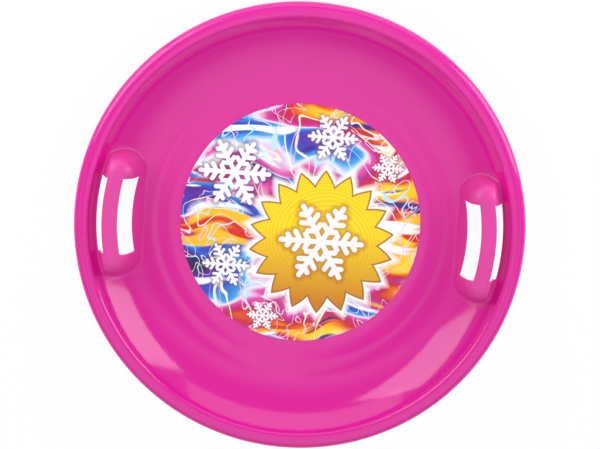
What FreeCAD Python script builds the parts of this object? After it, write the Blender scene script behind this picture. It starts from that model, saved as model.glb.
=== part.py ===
import FreeCAD, Part
import math
import os
import Sketcher

# Saucer sled: a round dish moulded in one shot with two raised grips, and a round film label on its floor.
# Millimetres and degrees. +Z is up, the grips lie on the X axis, the origin is the centre of the underside.

SIZES = {
    # The dish, as radii and heights of its upper face
    "disc_diameter": 600.0,
    "wall_thickness": 3.0,
    "floor_radius": 165.0,
    "floor_sweep": 150.0,
    "step_radius": 186.0,
    "step_sweep": 85.0,
    "bowl_start": 195.0,
    "bowl_end": 279.0,
    "rim_height": 53.5,
    "rim_inner_round": 7.0,
    "rim_roll": 10.0,
    "skirt_depth": 16.0,
    # The grips, as the plan of their crest and the flare of their flanks from the vertical,
    # which is less on the side towards the rim
    "grip_radius": 250.6,
    "grip_height": 68.5,
    "grip_width": 26.0,
    "grip_half_span": 56.6,
    "grip_flare": 23.5,
    "grip_outer_radius": 263.0,
    "grip_outer_flare": 13.0,
    "grip_crest_round": 10.0,
    "grip_foot_round": 2.5,
    # The hand slots each side of a grip bar, and the lips that hang from the bar's edges
    "slot_half_length": 50.7,
    "inner_slot_radius": 223.5,
    "bar_inner_radius": 241.2,
    "bar_outer_radius": 261.0,
    "outer_slot_radius": 270.2,
    "lip_depth": 16.0,
    "lip_tuck": 2.5,
    "lip_lap": 5.0,
    # The printed film
    "label_diameter": 322.0,
    "label_thickness": 0.2,
    # How far the solid block of the dish reaches below the floor before it is hollowed
    "block_depth": 10.0,
}

UP = math.pi / 2
DOWN = -math.pi / 2
TOUCH = 0.01

doc = FreeCAD.newDocument("saucer_sled")
sheet = doc.addObject("Spreadsheet::Sheet", "sizes")
for row, (alias, value) in enumerate(SIZES.items(), start=1):
    sheet.set(f"A{row}", alias)
    sheet.set(f"B{row}", str(value))
    sheet.setAlias(f"B{row}", alias)
doc.recompute()


def size(alias):
    return float(sheet.get(alias))


def origin_feature(body, role):
    """The body's own origin plane or axis of that role."""
    return next(item for item in body.Origin.OriginFeatures if item.Role == role)


def new_sketch(body, name, role, lift=None):
    """A sketch on an origin plane of the body, raised off it by an expression."""
    sketch = body.newObject("Sketcher::SketchObject", name)
    sketch.AttachmentSupport = [(origin_feature(body, role), "")]
    sketch.MapMode = "FlatFace"
    if lift:
        sketch.setExpression("AttachmentOffset.Base.z", lift)
    return sketch


def tie(sketch, name, expression, kind, *where):
    """A named dimension of the sketch, bound to an expression on the sheet."""
    value = float(sketch.evalExpression(expression))
    index = sketch.addConstraint(Sketcher.Constraint(kind, *where, value))
    sketch.renameConstraint(index, name)
    sketch.setExpression(f"Constraints.{name}", expression)


def line(x0, y0, x1, y1):
    return Part.LineSegment(FreeCAD.Vector(x0, y0, 0), FreeCAD.Vector(x1, y1, 0))


def arc(x, y, radius, start, end):
    circle = Part.Circle(FreeCAD.Vector(x, y, 0), FreeCAD.Vector(0, 0, 1), radius)
    return Part.ArcOfCircle(circle, start, end)


def draw_dish_section(body):
    """Half section of the dish as a block: flat floor, soft step, bowl, rim land and rolled edge.

    The upper face is a chain of tangent arcs. Each arc is first drawn from its radius and the slopes
    at its ends, and the constraints then settle the bowl's own radius from the rim height.
    """
    radius = size("disc_diameter") / 2
    wall = size("wall_thickness")
    floor_sweep = size("floor_sweep")
    step_sweep = size("step_sweep")
    step_radius = size("step_radius")
    floor_radius = size("floor_radius")
    bowl_start = size("bowl_start")
    bowl_end = size("bowl_end")
    rim_height = size("rim_height")
    rim_round = size("rim_inner_round")
    rim_roll = size("rim_roll")
    base = -size("block_depth")
    bowl_sweep = (bowl_end - bowl_start) * 1.3

    step_slope = math.asin((step_radius - floor_radius) / floor_sweep)
    start_slope = math.asin(math.sin(step_slope) - (bowl_start - step_radius) / step_sweep)
    end_slope = math.asin(math.sin(start_slope) + (bowl_end - bowl_start) / bowl_sweep)
    step_height = wall + floor_sweep * (1 - math.cos(step_slope))
    start_height = step_height + step_sweep * (math.cos(start_slope) - math.cos(step_slope))
    end_height = start_height + bowl_sweep * (math.cos(start_slope) - math.cos(end_slope))
    land_start = bowl_end + rim_round * math.sin(end_slope)
    land_end = radius - rim_roll

    sketch = new_sketch(body, "dish_section", "YZ_Plane")
    floor, sweep, step, bowl, inner, land, roll, side, under, middle = range(10)
    sketch.addGeometry([
        line(0, wall, floor_radius, wall),
        arc(floor_radius, wall + floor_sweep, floor_sweep, DOWN, DOWN + step_slope),
        arc(step_radius + step_sweep * math.sin(step_slope), step_height - step_sweep * math.cos(step_slope),
            step_sweep, UP + start_slope, UP + step_slope),
        arc(bowl_start - bowl_sweep * math.sin(start_slope),
            start_height + bowl_sweep * math.cos(start_slope),
            bowl_sweep, DOWN + start_slope, DOWN + end_slope),
        arc(land_start, end_height - rim_round * math.cos(end_slope), rim_round, UP, UP + end_slope),
        line(land_start, rim_height, land_end, rim_height),
        arc(land_end, rim_height - rim_roll, rim_roll, 0, UP),
        line(radius, rim_height - rim_roll, radius, base),
        line(radius, base, 0, base),
        line(0, base, 0, wall),
    ], False)
    joint = Sketcher.Constraint
    sketch.addConstraint([
        joint("Tangent", floor, 2, sweep, 1),
        joint("Tangent", sweep, 2, step, 2),
        joint("Tangent", step, 1, bowl, 1),
        joint("Tangent", bowl, 2, inner, 2),
        joint("Tangent", inner, 1, land, 1),
        joint("Tangent", land, 2, roll, 2),
        joint("Tangent", roll, 1, side, 1),
        joint("Coincident", side, 2, under, 1),
        joint("Coincident", under, 2, middle, 1),
        joint("Coincident", middle, 2, floor, 1),
        joint("Horizontal", floor),
        joint("Horizontal", land),
        joint("Horizontal", under),
        joint("Vertical", side),
        joint("Vertical", middle),
        joint("PointOnObject", middle, 1, -2),
    ])
    tie(sketch, "wall", "sizes.wall_thickness", "DistanceY", -1, 1, floor, 2)
    tie(sketch, "floor_radius", "sizes.floor_radius", "DistanceX", -1, 1, floor, 2)
    tie(sketch, "floor_sweep", "sizes.floor_sweep", "Radius", sweep)
    tie(sketch, "step_radius", "sizes.step_radius", "DistanceX", -1, 1, sweep, 2)
    tie(sketch, "step_sweep", "sizes.step_sweep", "Radius", step)
    tie(sketch, "bowl_start", "sizes.bowl_start", "DistanceX", -1, 1, bowl, 1)
    tie(sketch, "bowl_end", "sizes.bowl_end", "DistanceX", -1, 1, bowl, 2)
    tie(sketch, "rim_round", "sizes.rim_inner_round", "Radius", inner)
    tie(sketch, "rim_height", "sizes.rim_height", "DistanceY", -1, 1, land, 2)
    tie(sketch, "rim_roll", "sizes.rim_roll", "Radius", roll)
    tie(sketch, "disc_radius", "sizes.disc_diameter / 2", "DistanceX", -1, 1, side, 1)
    tie(sketch, "block_depth", "sizes.block_depth", "DistanceY", under, 1, -1, 1)
    return sketch


def draw_grip_crest(body):
    """Plan of a grip's crest: a bar along an arc about the dish's axis, with round ends."""
    radius = size("grip_radius")
    half = size("grip_width") / 2
    turn = math.asin(size("grip_half_span") / radius)
    end_x = radius * math.cos(turn)
    end_y = radius * math.sin(turn)

    sketch = new_sketch(body, "grip_crest", "XY_Plane", "sizes.grip_height")
    outer, upper_end, inner, lower_end = range(4)
    sketch.addGeometry([
        arc(0, 0, radius + half, -turn, turn),
        arc(end_x, end_y, half, turn, turn + math.pi),
        arc(0, 0, radius - half, -turn, turn),
        arc(end_x, -end_y, half, math.pi - turn, 2 * math.pi - turn),
    ], False)
    joint = Sketcher.Constraint
    sketch.addConstraint([
        joint("Coincident", outer, 3, -1, 1),
        joint("Coincident", inner, 3, -1, 1),
        joint("Tangent", outer, 2, upper_end, 1),
        joint("Tangent", upper_end, 2, inner, 2),
        joint("Tangent", inner, 1, lower_end, 1),
        joint("Tangent", lower_end, 2, outer, 1),
    ])
    tie(sketch, "outer_edge", "sizes.grip_radius + sizes.grip_width / 2", "Radius", outer)
    tie(sketch, "inner_edge", "sizes.grip_radius - sizes.grip_width / 2", "Radius", inner)
    tie(sketch, "upper_span", "sizes.grip_half_span", "DistanceY", -1, 1, upper_end, 3)
    tie(sketch, "lower_span", "sizes.grip_half_span", "DistanceY", lower_end, 3, -1, 1)
    return sketch


def draw_outer_trim(body):
    """Section of the ring that cuts the grips' side towards the rim, along a steeper flare than the rest."""
    edge = size("grip_outer_radius")
    flare = math.tan(math.radians(size("grip_outer_flare")))
    crest = size("grip_height")
    top = crest + size("block_depth")
    bottom = -size("block_depth")
    outside = size("disc_diameter") / 2
    upper_edge = edge - (top - crest) * flare
    lower_edge = edge + (crest - bottom) * flare

    sketch = new_sketch(body, "outer_trim", "YZ_Plane")
    lean, lower, outer, upper = range(4)
    sketch.addGeometry([
        line(upper_edge, top, lower_edge, bottom),
        line(lower_edge, bottom, outside, bottom),
        line(outside, bottom, outside, top),
        line(outside, top, upper_edge, top),
    ], False)
    joint = Sketcher.Constraint
    sketch.addConstraint([
        joint("Coincident", lean, 2, lower, 1),
        joint("Coincident", lower, 2, outer, 1),
        joint("Coincident", outer, 2, upper, 1),
        joint("Coincident", upper, 2, lean, 1),
        joint("Horizontal", lower),
        joint("Horizontal", upper),
        joint("Vertical", outer),
    ])
    rise = "sizes.block_depth"
    fall = "(sizes.grip_height + sizes.block_depth)"
    flare = "tan(sizes.grip_outer_flare)"
    tie(sketch, "upper_edge", f"sizes.grip_outer_radius - {rise} * {flare}", "DistanceX", -1, 1, lean, 1)
    tie(sketch, "lower_edge", f"sizes.grip_outer_radius + {fall} * {flare}", "DistanceX", -1, 1, lean, 2)
    tie(sketch, "top", f"sizes.grip_height + {rise}", "DistanceY", -1, 1, lean, 1)
    tie(sketch, "bottom", rise, "DistanceY", lean, 2, -1, 1)
    tie(sketch, "outside", "sizes.disc_diameter / 2", "DistanceX", -1, 1, outer, 1)
    return sketch


def draw_arc_bands(body, name, lift, half_length, bands):
    """Closed bands on the +X side, each between two radii and cut off square at both ends.

    Every band is given as the expressions of its inner and outer radius.
    """
    sketch = new_sketch(body, name, "XY_Plane", lift)
    joint = Sketcher.Constraint
    reach = float(sketch.evalExpression(half_length))
    for number, (inner_expression, outer_expression) in enumerate(bands):
        inner_radius = float(sketch.evalExpression(inner_expression))
        outer_radius = float(sketch.evalExpression(outer_expression))
        inner_turn = math.asin(reach / inner_radius)
        outer_turn = math.asin(reach / outer_radius)
        inner_x = inner_radius * math.cos(inner_turn)
        outer_x = outer_radius * math.cos(outer_turn)
        first = sketch.GeometryCount
        inner, top, outer, bottom = range(first, first + 4)
        sketch.addGeometry([
            arc(0, 0, inner_radius, -inner_turn, inner_turn),
            line(inner_x, reach, outer_x, reach),
            arc(0, 0, outer_radius, -outer_turn, outer_turn),
            line(outer_x, -reach, inner_x, -reach),
        ], False)
        sketch.addConstraint([
            joint("Coincident", inner, 3, -1, 1),
            joint("Coincident", outer, 3, -1, 1),
            joint("Coincident", inner, 2, top, 1),
            joint("Coincident", top, 2, outer, 2),
            joint("Coincident", outer, 1, bottom, 1),
            joint("Coincident", bottom, 2, inner, 1),
            joint("Horizontal", top),
            joint("Horizontal", bottom),
        ])
        tie(sketch, f"inner_radius_{number}", inner_expression, "Radius", inner)
        tie(sketch, f"outer_radius_{number}", outer_expression, "Radius", outer)
        tie(sketch, f"upper_length_{number}", half_length, "DistanceY", -1, 1, top, 1)
        tie(sketch, f"lower_length_{number}", half_length, "DistanceY", bottom, 1, -1, 1)
    return sketch


def draw_skirt_trim(body):
    """Section of the ring that cuts the rolled edge's skirt to length."""
    radius = size("disc_diameter") / 2
    inside = radius - size("rim_roll")
    outside = radius + size("rim_roll")
    top = size("rim_height") - size("skirt_depth")
    bottom = -2 * size("block_depth")
    sketch = new_sketch(body, "skirt_trim", "YZ_Plane")
    upper, outer, lower, inner = range(4)
    sketch.addGeometry([
        line(inside, top, outside, top),
        line(outside, top, outside, bottom),
        line(outside, bottom, inside, bottom),
        line(inside, bottom, inside, top),
    ], False)
    joint = Sketcher.Constraint
    sketch.addConstraint([
        joint("Coincident", upper, 2, outer, 1),
        joint("Coincident", outer, 2, lower, 1),
        joint("Coincident", lower, 2, inner, 1),
        joint("Coincident", inner, 2, upper, 1),
        joint("Horizontal", upper),
        joint("Horizontal", lower),
        joint("Vertical", outer),
        joint("Vertical", inner),
    ])
    tie(sketch, "inside", "sizes.disc_diameter / 2 - sizes.rim_roll", "DistanceX", -1, 1, inner, 1)
    tie(sketch, "outside", "sizes.disc_diameter / 2 + sizes.rim_roll", "DistanceX", -1, 1, outer, 1)
    tie(sketch, "skirt_edge", "sizes.rim_height - sizes.skirt_depth", "DistanceY", -1, 1, upper, 1)
    tie(sketch, "below", "2 * sizes.block_depth", "DistanceY", lower, 1, -1, 1)
    return sketch


def names_of(kind, items, test):
    """Names of the edges or faces of a shape that pass a test."""
    return [f"{kind}{number}" for number, item in enumerate(items, start=1) if test(item)]


def around_dish_axis(edge):
    """Whether an edge is a circle or an arc about the dish's own axis."""
    curve = edge.Curve
    if curve.TypeId != "Part::GeomCircle":
        return False
    return math.hypot(curve.Center.x, curve.Center.y) < 0.01


def both_sides(body, feature, name):
    """Repeats a feature of the +X side on the -X side, half a turn round."""
    pattern = body.newObject("PartDesign::PolarPattern", name)
    pattern.Originals = [feature]
    pattern.Axis = (origin_feature(body, "Z_Axis"), [""])
    pattern.Angle = 360
    pattern.Occurrences = 2
    body.Tip = pattern
    doc.recompute()
    return pattern


def must_shrink(before, after):
    """Stops the build if a cut took nothing away."""
    if after.Shape.Volume > before.Shape.Volume - 1:
        raise RuntimeError(f"{after.Name} cut nothing")


def round_edges(body, base, name, radius, edges):
    fillet = body.newObject("PartDesign::Fillet", name)
    fillet.Base = (base, edges)
    fillet.setExpression("Radius", radius)
    doc.recompute()
    return fillet


def build_shell():
    """The moulding: grips and dish raised as one block, hollowed to one wall, then slotted and trimmed."""
    body = doc.addObject("PartDesign::Body", "saucer_shell")
    body.Label = "saucer_shell"
    # The two grips are apart until the dish joins them
    body.AllowCompound = True

    # The grips, flaring down from their crest, and cut steeper on the side towards the rim
    grip = body.newObject("PartDesign::Pad", "grip")
    grip.Profile = draw_grip_crest(body)
    grip.Reversed = True
    grip.setExpression("Length", "sizes.grip_height - sizes.wall_thickness / 2")
    grip.setExpression("TaperAngle", "sizes.grip_flare")
    doc.recompute()
    grips = both_sides(body, grip, "grips")
    outer_trim = draw_outer_trim(body)
    steeper = body.newObject("PartDesign::Groove", "grip_outer_side")
    steeper.Profile = outer_trim
    steeper.ReferenceAxis = (outer_trim, ["V_Axis"])
    steeper.Angle = 360
    doc.recompute()
    must_shrink(grips, steeper)

    def at_crest(edge):
        """An edge round a grip's crest, or one that runs down from its outer corners."""
        box = edge.BoundBox
        top = size("grip_height") - TOUCH
        highest = max(edge.Vertexes, key=lambda vertex: vertex.Z).Point
        outer_corner = math.hypot(highest.x, highest.y) > size("grip_radius")
        return box.ZMin > top or (box.ZMax > top and outer_corner)

    crest_edges = names_of("Edge", steeper.Shape.Edges, at_crest)
    round_edges(body, steeper, "crest_round", "sizes.grip_crest_round", crest_edges)

    # The dish, turned about its axis
    section = draw_dish_section(body)
    dish = body.newObject("PartDesign::Revolution", "dish")
    dish.Profile = section
    dish.ReferenceAxis = (section, ["V_Axis"])
    dish.Angle = 360
    doc.recompute()

    # One wall thickness everywhere, open underneath
    block_bottom = TOUCH - size("block_depth")
    open_face = names_of("Face", dish.Shape.Faces, lambda face: face.BoundBox.ZMax < block_bottom)
    wall = body.newObject("PartDesign::Thickness", "wall")
    wall.Base = (dish, open_face)
    wall.Mode = "Skin"
    wall.Join = "Arc"
    wall.Reversed = True
    wall.setExpression("Value", "sizes.wall_thickness")
    doc.recompute()

    # A small round where the grips rise from the bowl, on the edges that kept their place in the hollowing
    def at_foot(edge):
        """An upper edge where a grip's flank meets the bowl."""
        box = edge.BoundBox
        bowl_top = size("rim_height") - size("rim_inner_round")
        in_bowl = box.ZMin > size("wall_thickness") and box.ZMax < bowl_top
        if around_dish_axis(edge):
            return in_bowl and size("grip_radius") < edge.Curve.Radius < size("bowl_end") - 1
        return in_bowl and abs(box.Center.x) > size("floor_radius")

    foot_middles = [edge.CenterOfMass for edge in dish.Shape.Edges if at_foot(edge)]

    def kept_place(edge):
        return any(edge.CenterOfMass.distanceToPoint(middle) < TOUCH for middle in foot_middles)

    foot_edges = names_of("Edge", wall.Shape.Edges, kept_place)
    block = round_edges(body, wall, "foot_round", "sizes.grip_foot_round", foot_edges)

    # The rolled edge's skirt, cut to length
    trim = draw_skirt_trim(body)
    skirt = body.newObject("PartDesign::Groove", "skirt")
    skirt.Profile = trim
    skirt.ReferenceAxis = (trim, ["V_Axis"])
    skirt.Angle = 360
    doc.recompute()
    must_shrink(block, skirt)

    # A hand slot on each side of each grip bar
    inner_edge = "sizes.bar_inner_radius"
    outer_edge = "sizes.bar_outer_radius"
    slot = body.newObject("PartDesign::Pocket", "hand_slot")
    slot.Profile = draw_arc_bands(body, "slot_plan", None, "sizes.slot_half_length", [
        ("sizes.inner_slot_radius", inner_edge),
        (outer_edge, "sizes.outer_slot_radius"),
    ])
    slot.Type = "ThroughAll"
    slot.Reversed = True
    doc.recompute()
    must_shrink(skirt, slot)
    slots = both_sides(body, slot, "hand_slots")
    must_shrink(slot, slots)

    # Lips along both edges of each bar, which make it a channel that opens downward
    lip = body.newObject("PartDesign::Pad", "grip_lip")
    lip.Profile = draw_arc_bands(
        body, "lip_plan", "sizes.grip_height - sizes.lip_depth", "sizes.slot_half_length + sizes.lip_lap", [
            (inner_edge, inner_edge + " + sizes.wall_thickness"),
            (outer_edge + " - sizes.wall_thickness", outer_edge),
        ])
    lip.setExpression("Length", "sizes.lip_depth - sizes.lip_tuck")
    doc.recompute()
    both_sides(body, lip, "grip_lips")
    return body


def build_label():
    """The printed film: a plain disc that lies on the flat floor."""
    body = doc.addObject("PartDesign::Body", "centre_label")
    body.Label = "centre_label"
    sketch = new_sketch(body, "label_plan", "XY_Plane", "sizes.wall_thickness")
    radius = size("label_diameter") / 2
    sketch.addGeometry(Part.Circle(FreeCAD.Vector(0, 0, 0), FreeCAD.Vector(0, 0, 1), radius), False)
    sketch.addConstraint(Sketcher.Constraint("Coincident", 0, 3, -1, 1))
    tie(sketch, "label_radius", "sizes.label_diameter / 2", "Radius", 0)
    film = body.newObject("PartDesign::Pad", "film")
    film.Profile = sketch
    film.setExpression("Length", "sizes.label_thickness")
    doc.recompute()
    return body


def check_document():
    """Stops the build if any object failed to recompute."""
    failed = [item.Name for item in doc.Objects if {"Invalid", "Error"} & set(item.State)]
    if failed:
        raise RuntimeError(f"failed objects: {failed}")


def write_step(body):
    shape = body.Shape
    if shape.isNull() or not shape.isValid() or len(shape.Solids) != 1:
        raise RuntimeError(f"{body.Label} is not one valid solid")
    shape.exportStep(os.path.join("parts", f"{body.Label}.step"))
    print(f"{body.Label}: {shape.Volume / 1000:.1f} cm3, {len(shape.Faces)} faces")


pieces = [build_shell(), build_label()]
doc.recompute()
check_document()
os.makedirs("parts", exist_ok=True)
for piece in pieces:
    write_step(piece)
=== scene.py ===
import math

import bpy
import numpy as np
from mathutils import Matrix, Quaternion, Vector


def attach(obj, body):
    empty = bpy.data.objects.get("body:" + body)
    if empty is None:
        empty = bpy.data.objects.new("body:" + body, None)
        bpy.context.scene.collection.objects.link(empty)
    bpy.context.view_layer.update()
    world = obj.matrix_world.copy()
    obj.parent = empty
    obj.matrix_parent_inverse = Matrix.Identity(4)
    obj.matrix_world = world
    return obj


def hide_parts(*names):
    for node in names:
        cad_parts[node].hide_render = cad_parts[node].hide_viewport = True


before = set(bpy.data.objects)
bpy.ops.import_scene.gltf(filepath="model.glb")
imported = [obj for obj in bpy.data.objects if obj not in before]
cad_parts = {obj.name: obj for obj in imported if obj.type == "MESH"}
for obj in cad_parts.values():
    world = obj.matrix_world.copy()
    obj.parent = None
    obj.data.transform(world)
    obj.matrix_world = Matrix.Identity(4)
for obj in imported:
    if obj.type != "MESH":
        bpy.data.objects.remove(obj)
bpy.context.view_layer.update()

# Saucer shell: dish, rolled rim and both grips leave the mould as one piece with a 3 mm wall all over.
# It is hot-pink polyethylene, injected at the middle of the floor against polished steel,
# and the hand slots are cored through in the mould, so nothing on it is fastened.
MM = 0.001
TINY = 1e-6
WALL = 3.0
DISC_RADIUS = 300.0
FLOOR_RADIUS, FLOOR_SWEEP = 165.0, 150.0
STEP_RADIUS, STEP_SWEEP = 186.0, 85.0
BOWL_START, BOWL_END, BOWL_SWEEP = 195.0, 279.0, 107.416
STEEPEST_SINE = 0.9
RIM_HEIGHT, RIM_INNER_ROUND, RIM_ROLL = 53.5, 7.0, 10.0
SKIRT_DEPTH, SKIRT_MIDDLE = 16.0, 41.0
GRIP_RADIUS, GRIP_HEIGHT, GRIP_WIDTH, GRIP_HALF_SPAN = 250.6, 68.5, 26.0, 56.6
GRIP_OUTER_RADIUS, GRIP_WAIST, GRIP_END_WIDTH = 263.0, 12.0, 37.0
GRIP_LEAN, GRIP_END_LEAN, GRIP_OUTER_LEAN = math.radians(66.5), math.radians(76), math.radians(77)
CREST_ROUND, END_ROUND, FOOT_ROUND, INNER_FOOT_ROUND = 10.0, 22.0, 2.5, 4.0
SLOT_HALF = 50.7
INNER_SLOT, OUTER_SLOT = (223.5, 241.2), (261.0, 270.2)
BAR_WIDTH = OUTER_SLOT[0] - INNER_SLOT[1]
LIP_BOTTOM, LIP_HALF, LIP_ROUND = 52.5, 55.7, 1.2
EDGE_ROUND = 0.8


def section_arcs():
    """The tangent arcs of the dish's upper face, from the flat floor out to the rim's land.

    A row holds the sine of the slope where an arc starts, its centre's radius and height, and its signed
    radius, plus for a cup and minus for a crown. Each centre lies square to the face where its arc starts.
    """
    starts = (FLOOR_RADIUS, STEP_RADIUS, BOWL_START, BOWL_END)
    bends = (FLOOR_SWEEP, -STEP_SWEEP, BOWL_SWEEP, -RIM_INNER_ROUND)
    rows = []
    sine, z = 0.0, WALL
    for start, bend in zip(starts, bends):
        if rows:
            last_r, last_z, last_bend = rows[-1][1:]
            sine = (start - last_r) / last_bend
            z = last_z - last_bend * math.sqrt(1 - sine**2)
        rows.append((sine, start - bend * sine, z + bend * math.sqrt(1 - sine**2), bend))
    return rows


def dish_face(r, depth):
    """Height and slope of the dish at radius r, at a depth below its upper face.

    The arcs keep their centres and their signed radii grow by the depth. The sine of the slope is the
    distance from the arc's centre over its radius, and the height is the centre's less radius times cosine.
    Past the last arc's centre the rim's land is level.
    """
    z = np.full_like(r, WALL - depth)
    slope = np.zeros_like(r)
    for start_sine, centre_r, centre_z, bend in section_arcs():
        bend = bend + depth
        sine = np.clip((r - centre_r) / bend, -STEEPEST_SINE, STEEPEST_SINE)
        cosine = np.sqrt(1 - sine**2)
        on_arc = r > centre_r + bend * start_sine
        z = np.where(on_arc, centre_z - bend * cosine, z)
        slope = np.where(on_arc, sine / cosine, slope)
    on_land = r > centre_r
    return np.where(on_land, RIM_HEIGHT - depth, z), np.where(on_land, 0.0, slope)


def flank_fall(away, edge, lean, crest_round, depth):
    """Fall of a grip's flank below its crest, and its steepness, by the plan distance from the crest line.

    Level up to the shoulder, then a round whose radius shrinks by the depth, then straight at the lean.
    The straight lines of crest and flank would cross at the edge.
    """
    bend = crest_round - depth
    start = edge - crest_round * np.tan(lean / 2)
    across = np.clip(away - start, 0, bend * np.sin(lean))
    beyond = np.maximum(away - start - bend * np.sin(lean), 0)
    upright = np.sqrt(bend**2 - across**2)
    return bend - upright + beyond * np.tan(lean), across / upright


def grip_face(x, y, depth):
    """Height of the grips' humps, its slopes along x and y, and how far the flank faces the dish's middle.

    One fall goes by the plan distance from the crest line, an arc about the dish's axis, and a steeper one
    by the radius alone, on the side towards the rim. The two join as the fourth root of the sum of fourth
    powers. From the waist to the ends, the first one's width, crest round and lean grow by a smooth step.
    """
    r = np.maximum(np.hypot(x, y), TINY)
    beside = np.abs(y) * GRIP_RADIUS < GRIP_HALF_SPAN * r
    end_x = math.sqrt(GRIP_RADIUS**2 - GRIP_HALF_SPAN**2)
    near_x = np.where(beside, np.abs(x) * GRIP_RADIUS / r, end_x)
    near_y = np.where(beside, y * GRIP_RADIUS / r, np.copysign(GRIP_HALF_SPAN, y))
    away_x, away_y = np.abs(x) - near_x, y - near_y
    distance = np.maximum(np.hypot(away_x, away_y), TINY)
    near_end = np.clip((np.abs(y) - GRIP_WAIST) / (GRIP_HALF_SPAN - GRIP_WAIST), 0, 1)
    near_end = near_end**2 * (3 - 2 * near_end)
    crest_round = CREST_ROUND + (END_ROUND - CREST_ROUND) * near_end
    lean = GRIP_LEAN + (GRIP_END_LEAN - GRIP_LEAN) * near_end
    edge = (GRIP_WIDTH + (GRIP_END_WIDTH - GRIP_WIDTH) * near_end) / 2
    fall, steep = flank_fall(distance, edge, lean, crest_round, depth)
    out_edge = GRIP_OUTER_RADIUS - GRIP_RADIUS
    out_fall, out_steep = flank_fall(r - GRIP_RADIUS, out_edge, GRIP_OUTER_LEAN, CREST_ROUND, depth)
    both = (fall**4 + out_fall**4) ** 0.25
    share = (fall / np.maximum(both, TINY)) ** 3
    out_share = (out_fall / np.maximum(both, TINY)) ** 3
    slope_x = share * steep * away_x / distance + out_share * out_steep * np.abs(x) / r
    slope_y = share * steep * away_y / distance + out_share * out_steep * y / r
    inward = np.clip(-(away_x * np.abs(x) + away_y * y) / (distance * r), 0, 1) ** 2
    return GRIP_HEIGHT - depth - both, -slope_x * np.sign(x), -slope_y, inward


def filleted(a, ax, ay, b, bx, by, radius):
    """Height of two faces a and b, with slopes along x and y, joined by a fillet of that radius.

    A ball on both faces touches each one where the other is radius * (1 - cosine of the angle between
    their normals) away. Between those places the height is the lower root of the quadratic that puts
    the ball's centre one radius from both faces, and outside them it is the higher face.
    """
    upright_a = 1 / np.sqrt(1 + ax**2 + ay**2)
    upright_b = 1 / np.sqrt(1 + bx**2 + by**2)
    cosine = np.minimum((1 + ax * bx + ay * by) * upright_a * upright_b, 1)
    near_a, near_b = upright_a * a + radius, upright_b * b + radius
    square = np.maximum(upright_a**2 + upright_b**2 - 2 * upright_a * upright_b * cosine, TINY)
    middle = upright_a * near_a + upright_b * near_b - cosine * (upright_a * near_b + upright_b * near_a)
    rest = near_a**2 + near_b**2 - 2 * cosine * near_a * near_b - radius**2 * (1 - cosine**2)
    ball = (middle - np.sqrt(np.maximum(middle**2 - square * rest, 0))) / square
    reach = radius * (1 - cosine)
    rolling = (a - b < reach / upright_b) & (b - a < reach / upright_a)
    return np.where(rolling, ball, np.maximum(a, b))


def shell_face(r, angle, depth):
    """Points of the shell's face at a depth below its upper one: the dish and the humps, filleted together.

    Beside a hand slot the face falls away as a quarter circle of the edge's radius, by its plan distance
    from the slot. The underside falls the other way.
    """
    x, y = r * np.cos(angle), r * np.sin(angle)
    dish, rise = dish_face(r, depth)
    hump, hump_x, hump_y, inward = grip_face(x, y, depth)
    foot = FOOT_ROUND + (INNER_FOOT_ROUND - FOOT_ROUND) * inward + depth
    z = filleted(dish, rise * np.cos(angle), rise * np.sin(angle), hump, hump_x, hump_y, foot)
    past_end = np.maximum(np.abs(y) - SLOT_HALF, 0)
    gap = np.inf
    for low, high in (INNER_SLOT, OUTER_SLOT):
        past_side = np.maximum(np.maximum(low - r, r - high), 0)
        gap = np.minimum(gap, np.hypot(past_side, past_end))
    near = np.maximum(EDGE_ROUND - gap, 0)
    ease = EDGE_ROUND - np.sqrt(EDGE_ROUND**2 - near**2)
    return x, y, z - ease if depth == 0 else z + ease


# Where the mesh is laid: rows on the flat floor, the radii where rows become fine and where columns cross a
# grip square, the distances from a grip's middle at which its columns change step, and the columns between.
FLOOR_ROWS = (30, 70, 110, 140, 157)
FINE_FROM, SQUARE_FROM, SQUARE_TO = 204.0, 205.0, 285.0
LAND_ROWS = (287.5, DISC_RADIUS - RIM_ROLL)
PAST_SLOT, PAST_LIP = 2.0, 0.3
DOME_FROM, FOOT_FROM, FOOT_TO, GRIP_END = 57.5, 64.0, 94.0, 116.0
COLUMNS_BETWEEN = 82
# Points on a quarter circle, and the steps that they make at a rounded edge.
QUARTER = np.radians([0, 30, 60, 90])
EDGE_STEPS = EDGE_ROUND * (1 - np.cos(QUARTER))


def spaced(start, end, step):
    """Evenly spaced values from start up to, and without, the end."""
    count = max(1, round(abs(end - start) / step))
    return np.linspace(start, end, count, endpoint=False)


def shell_rows():
    """Radii of the rows up to the inner slot, across it, over the bar, across the outer slot and to the land.

    Rows are closer together where the section bends, and crowd at the slots' edges by one minus the cosine,
    the steps of a quarter circle.
    """
    to_slot = np.concatenate([
        FLOOR_ROWS,
        spaced(FLOOR_RADIUS, STEP_RADIUS, step=3.5),
        spaced(STEP_RADIUS, BOWL_START, step=2.3),
        spaced(BOWL_START, FINE_FROM, step=2.7),
        spaced(FINE_FROM, INNER_SLOT[0] - EDGE_ROUND, step=1.0),
        INNER_SLOT[0] - EDGE_STEPS[:0:-1],
    ])
    inner = spaced(INNER_SLOT[0], INNER_SLOT[1], step=1.9)
    bar = np.concatenate([
        INNER_SLOT[1] + EDGE_STEPS,
        spaced(INNER_SLOT[1] + EDGE_ROUND, OUTER_SLOT[0] - EDGE_ROUND, step=1.3)[1:],
        OUTER_SLOT[0] - EDGE_STEPS[::-1],
    ])
    outer = spaced(OUTER_SLOT[0], OUTER_SLOT[1], step=0.9)[1:]
    to_land = np.concatenate([
        OUTER_SLOT[1] + EDGE_STEPS,
        spaced(OUTER_SLOT[1] + EDGE_ROUND, BOWL_END, step=1.1)[1:],
        spaced(BOWL_END, SQUARE_TO, step=0.75),
        LAND_ROWS,
    ])
    return to_slot, inner, bar, outer, to_land


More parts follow.
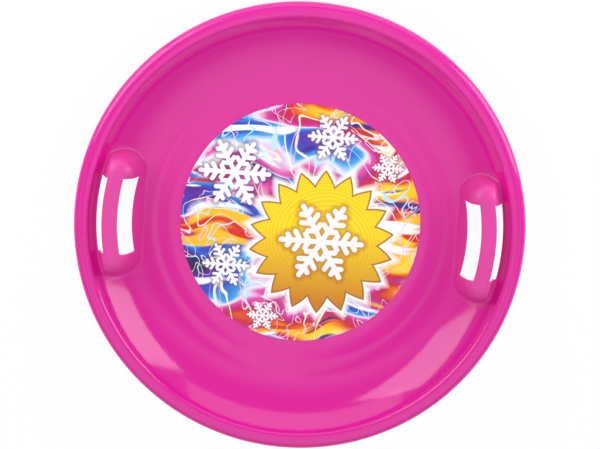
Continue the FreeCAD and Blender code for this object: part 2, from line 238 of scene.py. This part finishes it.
def shell_columns(r):
    """Angle of every column at radius r, as one row per radius, and the distances of a grip's columns.

    Across a grip the columns are lines of constant y, so that slots and bar end square, and the angle is
    the arcsine of y over the radius. Between the grips the angle is shared out evenly.
    """
    half = np.concatenate([
        spaced(0, SLOT_HALF, step=4.3),
        SLOT_HALF + EDGE_STEPS,
        spaced(SLOT_HALF + PAST_SLOT, LIP_HALF, step=1.5),
        [LIP_HALF, LIP_HALF + PAST_LIP],
        spaced(DOME_FROM, FOOT_FROM, step=1.6),
        spaced(FOOT_FROM, FOOT_TO, step=1.0),
        spaced(FOOT_TO, GRIP_END, step=3.5),
        [GRIP_END],
    ])
    across = np.concatenate([-half[:0:-1], half])
    reach = np.clip(r, SQUARE_FROM, SQUARE_TO)[:, None]
    over_grip = np.arcsin(across / reach)
    edge = over_grip[:, -1:]
    share = np.linspace(0, 1, COLUMNS_BETWEEN + 2)[1:-1]
    between = edge + share * (math.pi - 2 * edge)
    return np.hstack([over_grip, between, over_grip + math.pi, between + math.pi]), across


def rim_section():
    """Radius and height of the rolled edge, from the land over the roll to the skirt and back up inside it.

    The roll is a quarter circle, and so is each corner of the skirt's foot. Inside, the roll's radius is
    less by the wall.
    """
    turn = np.radians(spaced(90, 0, step=9)[::-1])
    centre = DISC_RADIUS - RIM_ROLL
    inside = DISC_RADIUS - WALL
    foot_z = RIM_HEIGHT - SKIRT_DEPTH + EDGE_ROUND * (1 - np.sin(QUARTER))
    r = np.concatenate([
        centre + RIM_ROLL * np.sin(turn),
        [DISC_RADIUS],
        DISC_RADIUS - EDGE_STEPS,
        inside + EDGE_STEPS[::-1],
        [inside],
        centre + (RIM_ROLL - WALL) * np.sin(turn[::-1]),
    ])
    z = np.concatenate([
        RIM_HEIGHT - RIM_ROLL * (1 - np.cos(turn)),
        [SKIRT_MIDDLE],
        foot_z,
        foot_z[::-1],
        [SKIRT_MIDDLE],
        RIM_HEIGHT - WALL - (RIM_ROLL - WALL) * (1 - np.cos(turn[::-1])),
    ])
    return r, z


# A lip's inner face leans by its draft over its height, and the channel starts a little way past its root.
LIP_HEIGHT, LIP_DRAFT, LIP_ROOT = 9.0, 0.1, 0.5
CHANNEL_FROM, CHANNEL_ROWS = 2.0, 9


def lip_section():
    """Radius and height across the underside of a bar, from its inner edge: lip, channel, lip.

    A lip's foot is two quarter circles, and no height is given where the channel follows the bar.
    """
    foot_r = LIP_ROUND * (1 - np.cos(QUARTER))
    foot_z = LIP_BOTTOM + LIP_ROUND * (1 - np.sin(QUARTER))
    lip_r = np.concatenate([foot_r, (WALL - foot_r)[::-1], [WALL + LIP_DRAFT, WALL + LIP_ROOT]])
    lip_z = np.concatenate([foot_z, foot_z[::-1], [LIP_BOTTOM + LIP_HEIGHT, np.nan]])
    channel = np.linspace(WALL + CHANNEL_FROM, BAR_WIDTH - WALL - CHANNEL_FROM, CHANNEL_ROWS)
    r = INNER_SLOT[1] + np.concatenate([lip_r, channel, BAR_WIDTH - lip_r[::-1]])
    return r, np.concatenate([lip_z, np.full(CHANNEL_ROWS, np.nan), lip_z[::-1]])


def shell_mesh():
    """Points and faces of the shell: one closed section carried round the axis, without the slots' faces.

    Rows run out over the upper face, round the rolled edge and back in along the underside to two poles.
    A slot's upper and lower edges hold the same places, so its walls are strips of quads between them.
    From the middle to the inner slot, the underside has every second row of the upper face.
    """
    to_slot, inner, bar, outer, to_land = shell_rows()
    by_slot = len(EDGE_STEPS)
    upper_r = np.concatenate([to_slot, inner, bar, outer, to_land])
    lip_r, lip_z = lip_section()
    lower_r = np.concatenate([to_slot[:-by_slot:2], to_slot[-by_slot:], inner, lip_r, outer, to_land])[::-1]
    rim_r, rim_z = rim_section()
    rows_r = np.concatenate([upper_r, rim_r, lower_r])
    angle, across = shell_columns(rows_r)
    count = angle.shape[1]
    radius = rows_r[:, None] + 0 * angle
    x, y, z = shell_face(radius, angle, 0.0)
    under_z = shell_face(radius, angle, WALL)[2]
    first_rim, first_lower = len(upper_r), len(upper_r) + len(rim_r)
    z[first_rim:first_lower] = rim_z[:, None]
    z[first_lower:] = under_z[first_lower:]
    lip_rows = first_lower + len(to_land) + len(outer) + np.arange(len(lip_r))
    in_lip = (np.abs(y[lip_rows]) < LIP_HALF + PAST_LIP / 2) & ~np.isnan(lip_z)[::-1, None]
    z[lip_rows] = np.where(in_lip, np.nan_to_num(lip_z)[::-1, None], z[lip_rows])
    points = np.stack([x, y, z], axis=-1).reshape(-1, 3)
    poles = [[0, 0, WALL], [0, 0, 0]]

    index = np.arange(len(rows_r) * count).reshape(len(rows_r), count)
    ahead = np.roll(index, -1, axis=1)
    quads = np.stack([index[:-1], index[1:], ahead[1:], ahead[:-1]], axis=-1)
    kept = np.ones(quads.shape[:2], bool)
    ends = np.flatnonzero(np.isclose(np.abs(across), SLOT_HALF))
    grips = [(ends[0] + side, ends[1] + side) for side in (0, len(across) + COLUMNS_BETWEEN)]
    walls = []
    for low, high in (INNER_SLOT, OUTER_SLOT):
        top = np.flatnonzero((upper_r > low - TINY) & (upper_r < high + TINY))
        below = first_lower + np.flatnonzero((lower_r > low - TINY) & (lower_r < high + TINY))[::-1]
        for left, right in grips:
            kept[top[0]:top[-1], left:right] = False
            kept[below[-1]:below[0], left:right] = False
            loops = [np.concatenate([
                index[rows[0], left:right],
                index[rows[:-1], right],
                index[rows[-1], right:left:-1],
                index[rows[:0:-1], left],
            ]) for rows in (top, below)]
            ahead_loops = np.roll(loops, -1, axis=1)
            walls.append(np.stack([loops[0], ahead_loops[0], ahead_loops[1], loops[1]], axis=-1))
    upper_fan = np.stack([np.full(count, len(points)), index[0], ahead[0]], axis=-1)
    lower_fan = np.stack([np.full(count, len(points) + 1), ahead[-1], index[-1]], axis=-1)
    faces = np.concatenate([quads[kept], *walls]).tolist() + np.concatenate([upper_fan, lower_fan]).tolist()
    return np.concatenate([points, poles]), faces


def add_piece(name, points, faces, material):
    """A mesh object at the origin, from points in millimetres, shaded smooth up to edges of 40 degrees."""
    mesh = bpy.data.meshes.new(name)
    mesh.from_pydata(points * MM, [], faces)
    mesh.shade_smooth()
    mesh.set_sharp_from_angle(angle=math.radians(40))
    mesh.materials.append(material)
    piece = bpy.data.objects.new(name, mesh)
    bpy.context.scene.collection.objects.link(piece)
    return piece


def colour(code):
    """Linear red, green, blue and alpha of an sRGB hex value: a straight line near black, then a power."""
    parts = [int(code[i:i + 2], 16) / 255 for i in (1, 3, 5)]
    return [p / 12.92 if p <= 0.04045 else ((p + 0.055) / 1.055) ** 2.4 for p in parts] + [1.0]


def add_node(tree, kind, inputs=None, **settings):
    """Adds a shader node of that kind, sets its properties, and links or fills its inputs by name or number.

    Numbers stand where a node has several inputs of one name. Those of a Mix node are 0 for the share,
    2 and 3 for its values, and 6 and 7 for its colours.
    """
    node = tree.nodes.new("ShaderNode" + kind)
    for name, value in settings.items():
        setattr(node, name, value)
    for key, value in (inputs or {}).items():
        if isinstance(value, bpy.types.NodeSocket):
            tree.links.new(value, node.inputs[key])
        else:
            node.inputs[key].default_value = value
    return node


def new_material(name):
    """An empty node material, its tree and its output node."""
    material = bpy.data.materials.new(name)
    material.use_nodes = True
    material.node_tree.nodes.clear()
    return material, material.node_tree, material.node_tree.nodes.new("ShaderNodeOutputMaterial")


# Injection-moulded polyethylene: evenly dyed hot pink, with a crisp gloss that mirrors the soft boxes.
# The polished core leaves a faint orange peel a few millimetres across and clouds in the gloss.
# Over the grips the mould is etched for a better hold, which shows matt. The paler pink mixed in there is
# painted sheen, standing in for the paler look that the light gives the grips' tops.
PINK, PINK_DEEP, PINK_MATT_SHEEN = "#DD149B", "#D91096", "#DD389C"
PEEL_MM, PEEL_DEPTH, CLOUD_MM, SCATTER_MM = 5.0, 0.6, 45.0, 4.0
ROUGHNESS_LOW, ROUGHNESS_HIGH, ROUGHNESS_MATT = 0.1, 0.13, 0.4
# The etched patch, matt and with its painted sheen, reaches out from a line at this x, up to this y, fades by
# the distance from it, and ends by the radius, short of the rim.
MATT_X, MATT_Y = 247.0, 54.0
MATT_FADE, MATT_RIM_FADE = (41.0, 33.0), (276.0, 266.0)
polyethylene, tree, output = new_material("moulded_pink_polyethylene")
place = add_node(tree, "TexCoord").outputs["Object"]
clouds = add_node(tree, "TexNoise", {
    "Vector": place, "Scale": 1 / (CLOUD_MM * MM), "Detail": 3,
}).outputs["Fac"]
peel = add_node(tree, "TexNoise", {
    "Vector": place, "Scale": 1 / (PEEL_MM * MM), "Detail": 1,
}).outputs["Fac"]
dye = add_node(tree, "Mix", {
    0: clouds, 6: colour(PINK), 7: colour(PINK_DEEP),
}, data_type="RGBA").outputs[2]
polish = add_node(tree, "MapRange", {
    "Value": clouds, "From Min": 0.3, "From Max": 0.7, "To Min": ROUGHNESS_LOW, "To Max": ROUGHNESS_HIGH,
}).outputs[0]
plan = add_node(tree, "VectorMath", {0: place, 1: (1, 1, 0)}, operation="MULTIPLY").outputs[0]
plan_r = add_node(tree, "VectorMath", {0: plan}, operation="LENGTH").outputs["Value"]
beside = add_node(tree, "VectorMath", {0: plan}, operation="ABSOLUTE").outputs[0]
beside = add_node(tree, "VectorMath", {
    0: beside, 1: (MATT_X * MM, MATT_Y * MM, 0),
}, operation="SUBTRACT").outputs[0]
beside = add_node(tree, "VectorMath", {0: beside, 1: (-1, 0, 0)}, operation="MAXIMUM").outputs[0]
beside = add_node(tree, "VectorMath", {0: beside}, operation="LENGTH").outputs["Value"]
near_line = add_node(tree, "MapRange", {
    "Value": beside, "From Min": MATT_FADE[0] * MM, "From Max": MATT_FADE[1] * MM,
}, interpolation_type="SMOOTHSTEP").outputs[0]
off_rim = add_node(tree, "MapRange", {
    "Value": plan_r, "From Min": MATT_RIM_FADE[0] * MM, "From Max": MATT_RIM_FADE[1] * MM,
}, interpolation_type="SMOOTHSTEP").outputs[0]
# The patch's mask sets the real matt roughness and mixes in the paler pink, which is painted sheen.
etched_and_sheen = add_node(tree, "Math", {0: near_line, 1: off_rim}, operation="MULTIPLY").outputs[0]
dye_and_sheen = add_node(tree, "Mix", {0: etched_and_sheen, 6: dye, 7: colour(PINK_MATT_SHEEN)}, data_type="RGBA").outputs[2]
roughness = add_node(tree, "Mix", {0: etched_and_sheen, 2: polish, 3: ROUGHNESS_MATT}).outputs[0]
relief = add_node(tree, "Bump", {"Height": peel, "Strength": 0.05, "Distance": PEEL_DEPTH * MM})
plastic = add_node(tree, "BsdfPrincipled", {
    "Base Color": dye_and_sheen, "Roughness": roughness, "Normal": relief.outputs["Normal"], "IOR": 1.54,
    "Subsurface Weight": 0.06, "Subsurface Scale": SCATTER_MM * MM, "Subsurface Radius": (1.0, 0.25, 0.5),
})
tree.links.new(plastic.outputs["BSDF"], output.inputs["Surface"])

shell = add_piece("saucer_shell_moulding", *shell_mesh(), polyethylene)
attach(shell, "root")
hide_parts("saucer_shell")

# Centre label: a round film, 0.2 mm thick, printed in many colours and stuck to the flat floor of the dish.
# It carries a generic winter design: a sun star and snow crystals over swirling coloured light.
LABEL_RADIUS, LABEL_THICKNESS = 161.0, 0.2
LABEL_ROWS, LABEL_ROWS_BELOW, LABEL_COLUMNS = (40, 80, 120, 150), (150, 80, 40), 240


def label_mesh():
    """Points and faces of the film: a flat section with a round edge, carried round the axis to two poles."""
    edge = LABEL_THICKNESS / 2
    turn = np.radians(np.linspace(90, -90, 5))
    r = np.concatenate([LABEL_ROWS, LABEL_RADIUS - edge + edge * np.cos(turn), LABEL_ROWS_BELOW])
    z = WALL + np.concatenate([
        np.full(len(LABEL_ROWS), LABEL_THICKNESS),
        edge + edge * np.sin(turn),
        np.zeros(len(LABEL_ROWS_BELOW)),
    ])
    angle = np.linspace(0, 2 * math.pi, LABEL_COLUMNS, endpoint=False)
    rings = [r[:, None] * np.cos(angle), r[:, None] * np.sin(angle), z[:, None] + 0 * angle]
    points = np.stack(rings, axis=-1).reshape(-1, 3)
    poles = [[0, 0, WALL + LABEL_THICKNESS], [0, 0, WALL]]

    index = np.arange(len(points)).reshape(len(r), LABEL_COLUMNS)
    ahead = np.roll(index, -1, axis=1)
    quads = np.stack([index[:-1], index[1:], ahead[1:], ahead[:-1]], axis=-1).reshape(-1, 4)
    upper_fan = np.stack([np.full(LABEL_COLUMNS, len(points)), index[0], ahead[0]], axis=-1)
    lower_fan = np.stack([np.full(LABEL_COLUMNS, len(points) + 1), ahead[-1], index[-1]], axis=-1)
    faces = quads.tolist() + np.concatenate([upper_fan, lower_fan]).tolist()
    return np.concatenate([points, poles]), faces


# Printed film: gravure colours under a clear gloss coat, with the faint waves of a sheet laid by hand.
# Soft ribbons run from violet on the left to yellow on the right, crossed by shards and scribbled lines.
WHITE = "#FFFFFF"
DRIFT_MM, SWIRL_MM = 120.0, 110.0
RIBBON_LENGTH, RIBBON_WIDTH, RIBBON_TURN = 170.0, 55.0, math.radians(-28)
HUE_LEFT, HUE_RIGHT, HUE_RANGE = -0.1, 0.18, (0.28, 0.72)
RIBBON_INKS = (
    (0, "#1C0E58"), (0.13, "#5B189C"), (0.25, "#1B4FCC"), (0.35, "#3AA8EE"), (0.4, "#EAF2FF"),
    (0.46, "#E84FB4"), (0.57, "#C4107E"), (0.67, "#D01822"), (0.77, "#F06A10"), (0.88, "#FFC400"),
    (1, "#FFE400"),
)
# A set of shards has its turn in degrees, its width, the level of noise at which it starts, and its ink.
SHARD_LENGTH, SHARD_FADE = 150.0, 0.05
SHARDS = (
    (38, 24, 0.60, "#FFC400"), (-52, 15, 0.65, WHITE), (12, 18, 0.63, "#DC1E14"), (70, 15, 0.63, "#3A1490"),
)
GLOW_MM, GLOW_RANGE, GLOW_SHARE = 58.0, (0.63, 0.8), 0.85
# A scribbled line has the size of its loops, the level of noise that it follows, and its ink.
SCRIBBLE_EDGE, SCRIBBLE_CORE = 0.011, 0.005
SCRIBBLES = ((70, 0.5, "#FFF6D8"), (46, 0.6, "#FFC9EA"), (60, 0.42, "#BFE9FF"))
film, tree, output = new_material("printed_gloss_film")
place = add_node(tree, "TexCoord").outputs["Object"]
spot = add_node(tree, "VectorMath", {0: place, 1: (1 / MM, 1 / MM, 0)}, operation="MULTIPLY").outputs[0]
drift = add_node(tree, "TexNoise", {"Vector": spot, "Scale": 1 / DRIFT_MM, "Detail": 1}).outputs["Color"]
drift = add_node(tree, "VectorMath", {0: drift, 1: (0.5, 0.5, 0.5)}, operation="SUBTRACT").outputs[0]
swirl = add_node(tree, "VectorMath", {
    0: drift, 1: (SWIRL_MM, SWIRL_MM, 0), 2: spot,
}, operation="MULTIPLY_ADD").outputs[0]

ribbons = add_node(tree, "Mapping", {
    "Vector": swirl, "Rotation": (0, 0, RIBBON_TURN), "Scale": (1 / RIBBON_LENGTH, 1 / RIBBON_WIDTH, 1),
}).outputs[0]
ribbons = add_node(tree, "TexNoise", {
    "Vector": ribbons, "Scale": 1.0, "Detail": 2, "Distortion": 0.3,
}).outputs["Fac"]
sideways = add_node(tree, "SeparateXYZ", {0: spot}).outputs["X"]
hue = add_node(tree, "MapRange", {
    "Value": sideways, "From Min": -LABEL_RADIUS, "From Max": LABEL_RADIUS,
    "To Min": HUE_LEFT, "To Max": HUE_RIGHT,
}).outputs[0]
hue = add_node(tree, "Math", {0: ribbons, 1: hue}, operation="ADD").outputs[0]
hue = add_node(tree, "MapRange", {
    "Value": hue, "From Min": HUE_RANGE[0], "From Max": HUE_RANGE[1],
}).outputs[0]
ramp = add_node(tree, "ValToRGB", {"Fac": hue})
stops = ramp.color_ramp.elements
stops.remove(stops[1])
for share, ink in RIBBON_INKS:
    stop = stops[0] if share == 0 else stops.new(share)
    stop.color = colour(ink)
printed = ramp.outputs["Color"]

# A set's own values also shift its noise, so that no two sets lie alike.
for turn, width, level, ink in SHARDS:
    shards = add_node(tree, "Mapping", {
        "Vector": swirl, "Location": (turn, width, level), "Rotation": (0, 0, math.radians(turn)),
        "Scale": (1 / SHARD_LENGTH, 1 / width, 1),
    }).outputs[0]
    shards = add_node(tree, "TexNoise", {"Vector": shards, "Scale": 1.0, "Detail": 1}).outputs["Fac"]
    shards = add_node(tree, "MapRange", {
        "Value": shards, "From Min": level, "From Max": level + SHARD_FADE,
    }).outputs[0]
    printed = add_node(tree, "Mix", {0: shards, 6: printed, 7: colour(ink)}, data_type="RGBA").outputs[2]

glow = add_node(tree, "TexNoise", {"Vector": spot, "Scale": 1 / GLOW_MM, "Detail": 1}).outputs["Fac"]
glow = add_node(tree, "MapRange", {
    "Value": glow, "From Min": GLOW_RANGE[0], "From Max": GLOW_RANGE[1], "To Max": GLOW_SHARE,
}).outputs[0]
printed = add_node(tree, "Mix", {0: glow, 6: printed, 7: colour(WHITE)}, data_type="RGBA").outputs[2]

for loop_mm, level, ink in SCRIBBLES:
    line = add_node(tree, "TexNoise", {
        "Vector": swirl, "Scale": 1 / loop_mm, "Detail": 1, "Distortion": 1.2,
    }).outputs["Fac"]
    line = add_node(tree, "Math", {0: line, 1: level}, operation="SUBTRACT").outputs[0]
    line = add_node(tree, "Math", {0: line}, operation="ABSOLUTE").outputs[0]
    line = add_node(tree, "MapRange", {
        "Value": line, "From Min": SCRIBBLE_EDGE, "From Max": SCRIBBLE_CORE,
    }).outputs[0]
    printed = add_node(tree, "Mix", {0: line, 6: printed, 7: colour(ink)}, data_type="RGBA").outputs[2]

# The sun star: eighteen rays, shaded from yellow down to amber and marked with a faint coil, with an amber
# edge and a white halo. Ranges are distances in from its edge, and the shade's are heights from its centre.
SUN_CENTRE, SUN_REACH, SUN_NOTCH, SUN_RAYS = (30, -24), 98, 77, 18
HALO_RANGE, OUTLINE_RANGE, BODY_RANGE, SHADE_RANGE = (-15, -3), (-0.4, 0.4), (2.0, 5.0), (-85, 20)
OUTLINE_INK, AMBER, YELLOW, COIL_INK = "#A86206", "#C87804", "#FFE200", "#F08A00"
COIL_POWER, COIL_TWIST, COIL_ARMS, COIL_RANGE, COIL_SHARE = 2.2, 0.00042, 9, (0.15, 0.21), 0.25
offset = add_node(tree, "VectorMath", {0: spot, 1: (*SUN_CENTRE, 0)}, operation="SUBTRACT").outputs[0]
axes = add_node(tree, "SeparateXYZ", {0: offset}).outputs
turn = add_node(tree, "Math", {0: axes["Y"], 1: axes["X"]}, operation="ARCTAN2").outputs[0]
r = add_node(tree, "VectorMath", {0: offset}, operation="LENGTH").outputs["Value"]
ray = add_node(tree, "Math", {0: turn, 1: math.pi / SUN_RAYS}, operation="PINGPONG").outputs[0]
edge = add_node(tree, "MapRange", {
    "Value": ray, "From Max": math.pi / SUN_RAYS, "To Min": SUN_NOTCH, "To Max": SUN_REACH,
}).outputs[0]
inside = add_node(tree, "Math", {0: edge, 1: r}, operation="SUBTRACT").outputs[0]
shade = add_node(tree, "MapRange", {
    "Value": axes["Y"], "From Min": SHADE_RANGE[0], "From Max": SHADE_RANGE[1],
}).outputs[0]
gold = add_node(tree, "Mix", {0: shade, 6: colour(AMBER), 7: colour(YELLOW)}, data_type="RGBA").outputs[2]
coil = add_node(tree, "Math", {0: r, 1: COIL_POWER}, operation="POWER").outputs[0]
coil = add_node(tree, "Math", {0: coil, 1: COIL_TWIST, 2: turn}, operation="MULTIPLY_ADD").outputs[0]
coil = add_node(tree, "Math", {0: coil, 1: math.pi / COIL_ARMS}, operation="PINGPONG").outputs[0]
coil = add_node(tree, "MapRange", {
    "Value": coil, "From Min": COIL_RANGE[0], "From Max": COIL_RANGE[1], "To Max": COIL_SHARE,
}).outputs[0]
gold = add_node(tree, "Mix", {0: coil, 6: gold, 7: colour(COIL_INK)}, data_type="RGBA").outputs[2]
layers = ((HALO_RANGE, colour(WHITE)), (OUTLINE_RANGE, colour(OUTLINE_INK)), (BODY_RANGE, gold))
for (start, full), ink in layers:
    layer = add_node(tree, "MapRange", {"Value": inside, "From Min": start, "From Max": full}).outputs[0]
    printed = add_node(tree, "Mix", {0: layer, 6: printed, 7: ink}, data_type="RGBA").outputs[2]

# The snow crystals: white strokes, rounded at their ends, on a soft shade that lifts them off the colours.
# A stroke has its start and length, as shares of the crystal's reach, and its heading.
ALONG, ASLANT = (1, 0, 0), (0.5, 0.866, 0)
STROKES = ((0, 1, ALONG), (0.3, 0.2, ASLANT), (0.52, 0.26, ASLANT), (0.76, 0.16, ASLANT))
SNOW_INK, SNOW_RANGE, SNOW_SHADE_RANGE, SNOW_SHADE_SHARE = "#F6F7FB", (0.07, 0.06), (0.2, 0.04), 0.75
CRYSTALS = (
    (SUN_CENTRE, 54, "#A8460E"), ((-92, 62), 46, "#24126E"), ((-96, -64), 30, "#5A1060"),
    ((36, 118), 32, "#8E1470"), ((-42, -130), 20, "#B01878"), ((112, 82), 20, "#B02C10"),
)


def crystal_gap(tree, spot, centre, reach):
    """Distance from the strokes of a six-armed snow crystal, in millimetres.

    The angle is folded into half a sixth of a turn. There an arm runs along the axis and carries three side
    strokes at 60 degrees, and the distance from a stroke is that from the nearest point of its line.
    """
    offset = add_node(tree, "VectorMath", {0: spot, 1: (*centre, 0)}, operation="SUBTRACT").outputs[0]
    axes = add_node(tree, "SeparateXYZ", {0: offset}).outputs
    turn = add_node(tree, "Math", {0: axes["Y"], 1: axes["X"]}, operation="ARCTAN2").outputs[0]
    fold = add_node(tree, "Math", {0: turn, 1: math.pi / 6}, operation="PINGPONG").outputs[0]
    cosine = add_node(tree, "Math", {0: fold}, operation="COSINE").outputs[0]
    sine = add_node(tree, "Math", {0: fold}, operation="SINE").outputs[0]
    heading = add_node(tree, "CombineXYZ", {0: cosine, 1: sine}).outputs[0]
    r = add_node(tree, "VectorMath", {0: offset}, operation="LENGTH").outputs["Value"]
    folded = add_node(tree, "VectorMath", {0: heading, "Scale": r}, operation="SCALE").outputs[0]
    gap = reach
    for start, length, along in STROKES:
        local = add_node(tree, "VectorMath", {
            0: folded, 1: (start * reach, 0, 0),
        }, operation="SUBTRACT").outputs[0]
        run = add_node(tree, "VectorMath", {0: local, 1: along}, operation="DOT_PRODUCT").outputs["Value"]
        run = add_node(tree, "Clamp", {"Value": run, "Min": 0, "Max": length * reach}).outputs[0]
        nearest = add_node(tree, "VectorMath", {0: along, "Scale": run}, operation="SCALE").outputs[0]
        stroke = add_node(tree, "VectorMath", {0: local, 1: nearest}, operation="DISTANCE").outputs["Value"]
        gap = add_node(tree, "Math", {0: gap, 1: stroke}, operation="MINIMUM").outputs[0]
    return gap


for centre, reach, shade_ink in CRYSTALS:
    gap = crystal_gap(tree, spot, centre, reach)
    under = add_node(tree, "MapRange", {
        "Value": gap, "From Min": SNOW_SHADE_RANGE[0] * reach, "From Max": SNOW_SHADE_RANGE[1] * reach,
        "To Max": SNOW_SHADE_SHARE,
    }).outputs[0]
    stroke = add_node(tree, "MapRange", {
        "Value": gap, "From Min": SNOW_RANGE[0] * reach, "From Max": SNOW_RANGE[1] * reach,
    }).outputs[0]
    for layer, ink in ((under, shade_ink), (stroke, SNOW_INK)):
        printed = add_node(tree, "Mix", {0: layer, 6: printed, 7: colour(ink)}, data_type="RGBA").outputs[2]

# The waves of the film lie under its clear coat and bend what it reflects.
WAVE_MM, WAVE_DEPTH = 70.0, 0.4
waves = add_node(tree, "TexNoise", {"Vector": spot, "Scale": 1 / WAVE_MM, "Detail": 1}).outputs["Fac"]
waves = add_node(tree, "Bump", {"Height": waves, "Strength": 0.2, "Distance": WAVE_DEPTH * MM}).outputs[0]
gloss_coat = add_node(tree, "BsdfPrincipled", {
    "Base Color": printed, "Roughness": 0.3, "IOR": 1.5, "Normal": waves,
})
tree.links.new(gloss_coat.outputs["BSDF"], output.inputs["Surface"])

label = add_piece("centre_label_film", *label_mesh(), film)
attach(label, "root")
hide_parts("centre_label")

# Studio floor: a plain sheet of matt white paper under the sled, laid flat and wider than any view.
# It shows white to the camera and in reflections, and keeps a soft shadow.
PAPER_HALF, PAPER_SHINE = 6000.0, 0.96
paper, tree, output = new_material("white_paper_floor")
matt = add_node(tree, "BsdfDiffuse", {"Color": colour("#F2F2F2")})
lit = add_node(tree, "Emission", {"Color": colour(WHITE), "Strength": 1.0})
rays = add_node(tree, "LightPath").outputs
seen = rays["Is Camera Ray"]
for kind in ("Is Glossy Ray", "Is Transmission Ray"):
    seen = add_node(tree, "Math", {0: seen, 1: rays[kind]}, operation="MAXIMUM").outputs[0]
share = add_node(tree, "Math", {0: seen, 1: PAPER_SHINE}, operation="MULTIPLY").outputs[0]
surface = add_node(tree, "MixShader", {0: share, 1: matt.outputs[0], 2: lit.outputs[0]})
tree.links.new(surface.outputs[0], output.inputs["Surface"])
corners = np.array([[-1, -1, 0], [1, -1, 0], [1, 1, 0], [-1, 1, 0]])
floor = add_piece("studio_floor", corners * PAPER_HALF, [[0, 1, 2, 3]], paper)

# Studio light: a white sheet hung over the sled, brightest a little to the front of overhead and darker in a
# band at its left and right. A soft box stands behind to each side, and a wide low one straight behind.
SHEET_MIDDLE, SHEET_LOW, SHEET_HIGH = (0.0, -0.34, 0.94), 0.42, 1.3
GAP_SHIFT, GAP_DEPTH = (0, 0.02, 0), 0.65
# An edge of the band has an axis, the direction's part along it where the dark starts, and where it is full.
GAP_EDGES = (("Y", 0.28, 0.06), ("X", 0.02, 0.1), ("X", 0.68, 0.25))
world = bpy.data.worlds.new("studio")
bpy.context.scene.world = world
world.use_nodes = True
tree = world.node_tree
tree.nodes.clear()
sky = add_node(tree, "TexCoord").outputs["Generated"]
height = add_node(tree, "VectorMath", {0: sky, 1: SHEET_MIDDLE}, operation="DOT_PRODUCT").outputs["Value"]
sheet = add_node(tree, "MapRange", {
    "Value": height, "From Min": 0.5, "From Max": 1.0, "To Min": SHEET_LOW, "To Max": SHEET_HIGH,
}, interpolation_type="SMOOTHSTEP").outputs[0]
across = add_node(tree, "VectorMath", {0: sky, 1: GAP_SHIFT}, operation="ADD").outputs[0]
across = add_node(tree, "VectorMath", {0: across}, operation="ABSOLUTE").outputs[0]
across = add_node(tree, "SeparateXYZ", {0: across}).outputs
gap = GAP_DEPTH
for axis, start, full in GAP_EDGES:
    dark = add_node(tree, "MapRange", {
        "Value": across[axis], "From Min": start, "From Max": full,
    }, interpolation_type="SMOOTHSTEP").outputs[0]
    gap = add_node(tree, "Math", {0: dark, 1: gap}, operation="MULTIPLY").outputs[0]
sheet = add_node(tree, "Mix", {0: gap, 2: sheet, 3: 0.0}).outputs[0]
rays = add_node(tree, "LightPath").outputs
level = add_node(tree, "Mix", {0: rays["Is Camera Ray"], 2: sheet, 3: 1.0}).outputs[0]
dome = add_node(tree, "Background", {"Color": colour(WHITE), "Strength": level})
add_node(tree, "OutputWorld", {"Surface": dome.outputs[0]})

PHOTO_TURN = Matrix.Rotation(math.radians(3.96), 3, "Z")
LAMP_DISTANCE = 1.6


def soft_box(name, zenith, bearing, roll, width, height, power):
    """A rectangular lamp that faces the dish, placed by its angle from the zenith and its bearing."""
    lamp = bpy.data.lights.new(name, "AREA")
    lamp.shape = "RECTANGLE"
    lamp.size, lamp.size_y, lamp.energy = width, height, power
    box = bpy.data.objects.new(name, lamp)
    lean, turn = math.radians(zenith), math.radians(bearing)
    outward = Vector((math.cos(turn), math.sin(turn), 0)) * math.sin(lean)
    towards = PHOTO_TURN @ (outward + Vector((0, 0, math.cos(lean))))
    box.location = towards * LAMP_DISTANCE
    box.rotation_mode = "QUATERNION"
    box.rotation_quaternion = towards.to_track_quat("Z", "Y") @ Quaternion((0, 0, 1), math.radians(roll))
    box.visible_camera = False
    bpy.context.scene.collection.objects.link(box)


soft_box("soft_box_left", zenith=57.5, bearing=143, roll=22, width=0.99, height=1.13, power=9.9)
soft_box("soft_box_right", zenith=69.8, bearing=24.4, roll=-10, width=0.87, height=1.17, power=11.0)
soft_box("soft_box_back", zenith=72, bearing=90, roll=0, width=2.4, height=0.9, power=7.5)

# Camera: nearly overhead at 3.6 metres, leaning 9 degrees, with the grips turned 4 degrees in the frame.
# It aims a little below and to the left of the dish's middle.
VIEW_DISTANCE, PIXELS_PER_MM, FRAME_PIXELS, SENSOR_WIDTH = 3600.0, 0.74507, 600, 36.0
LEAN_RIGHT, LEAN_UP = math.radians(1.834), math.radians(8.975)
AIM_RIGHT, AIM_UP = -0.197, -2.374
lean_x, lean_y = math.sin(LEAN_RIGHT), math.sin(LEAN_UP)
back = Vector((lean_x, lean_y, math.sqrt(1 - lean_x**2 - lean_y**2)))
up = (Vector((0, 1, 0)) - back * back.y).normalized()
right = up.cross(back)
aim = right * AIM_RIGHT + up * AIM_UP
lens = bpy.data.cameras.new("photo_camera")
lens.sensor_width = SENSOR_WIDTH
lens.lens = PIXELS_PER_MM * VIEW_DISTANCE / FRAME_PIXELS * SENSOR_WIDTH
lens.clip_end = 50.0
camera = bpy.data.objects.new("photo_camera", lens)
axes = Matrix([PHOTO_TURN @ right, PHOTO_TURN @ up, PHOTO_TURN @ back]).transposed()
stand = (PHOTO_TURN @ (aim + back * VIEW_DISTANCE) + Vector((0, 0, WALL))) * MM
camera.matrix_world = Matrix.Translation(stand) @ axes.to_4x4()
bpy.context.scene.collection.objects.link(camera)
bpy.context.scene.camera = camera
bpy.context.scene.view_settings.view_transform = "Standard"

bpy.context.view_layer.update()
